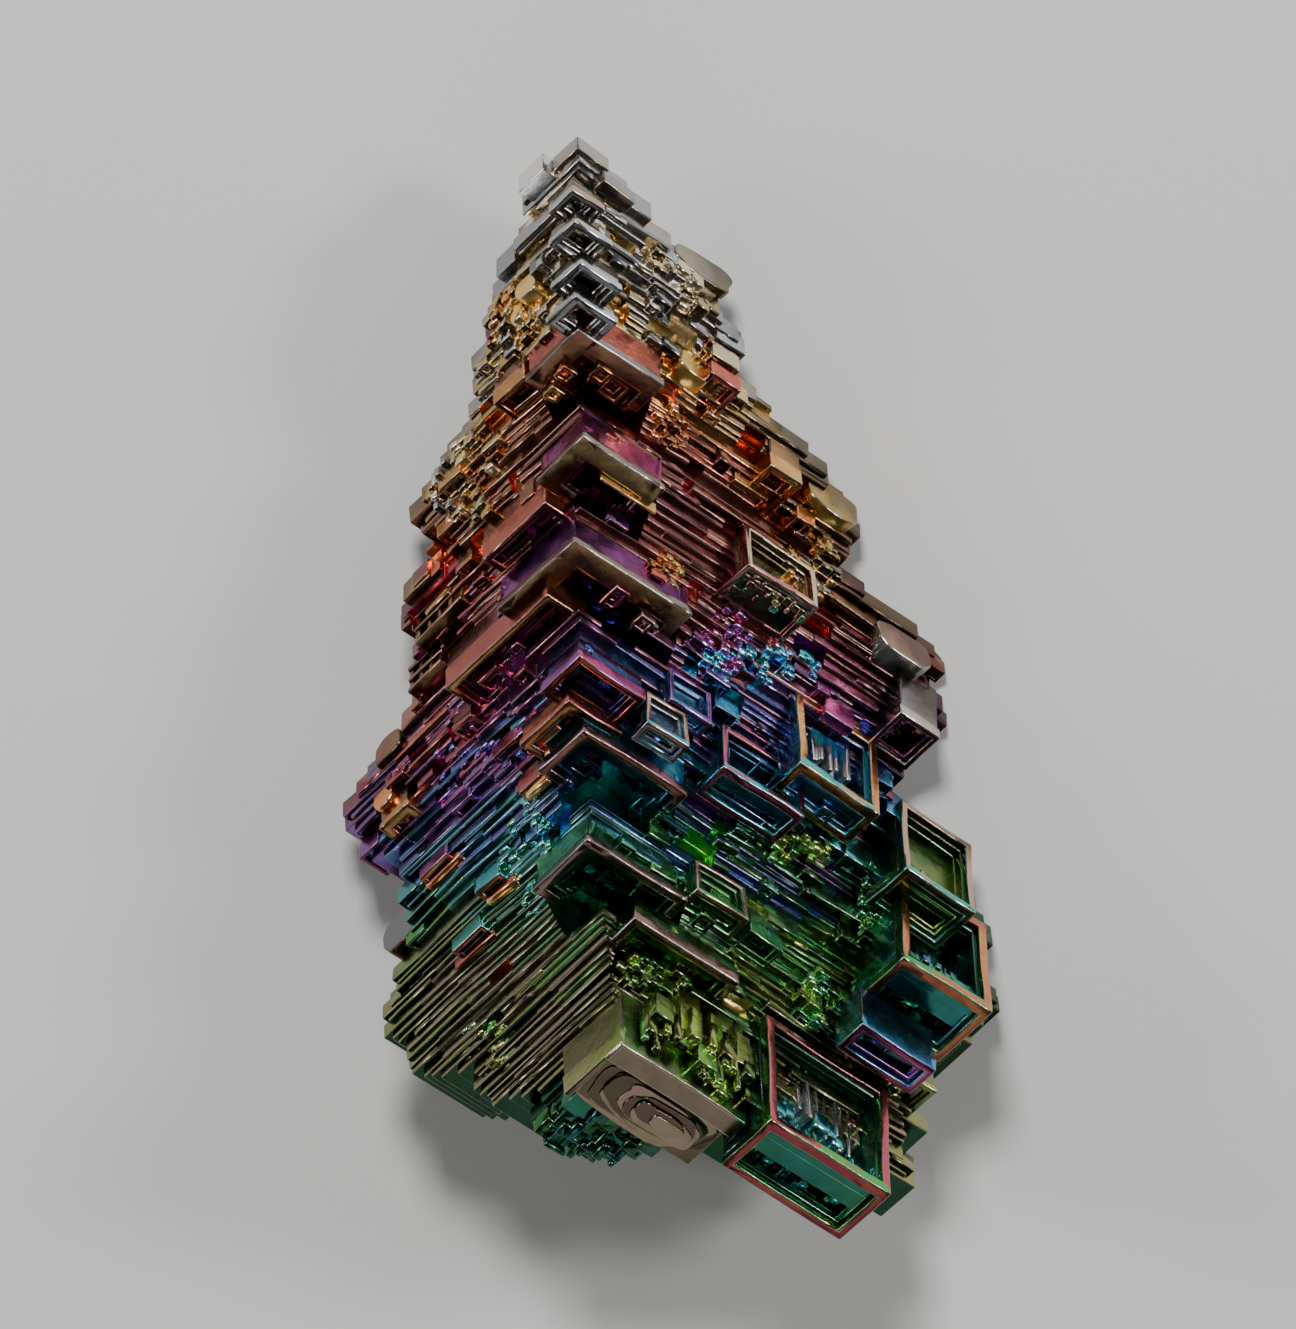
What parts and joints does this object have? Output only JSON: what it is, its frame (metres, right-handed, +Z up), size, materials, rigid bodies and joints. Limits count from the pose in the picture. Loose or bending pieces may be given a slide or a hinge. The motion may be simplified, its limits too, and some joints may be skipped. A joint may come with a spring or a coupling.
{
  "type": "bismuth hopper crystal",
  "caption": "Wedge-shaped cluster of stepped, hollow-faced metal crystals with iridescent oxide, lying on a flat broken cut.",
  "frame": {"origin": "on the flat cut under the middle of the cluster", "axes": "+Y along the ridge towards the tip, +Z up from the flat cut, +X to the right with the tip away from the viewer"},
  "size_m": [0.0312, 0.0534, 0.0195],
  "materials": {
    "bismuth": "bright metal under a thin iridescent oxide film, bare silvery pink on the cut"
  },
  "bodies": {
    "root": {"bismuth_crystal": "bismuth"}
  },
  "joints": []
}
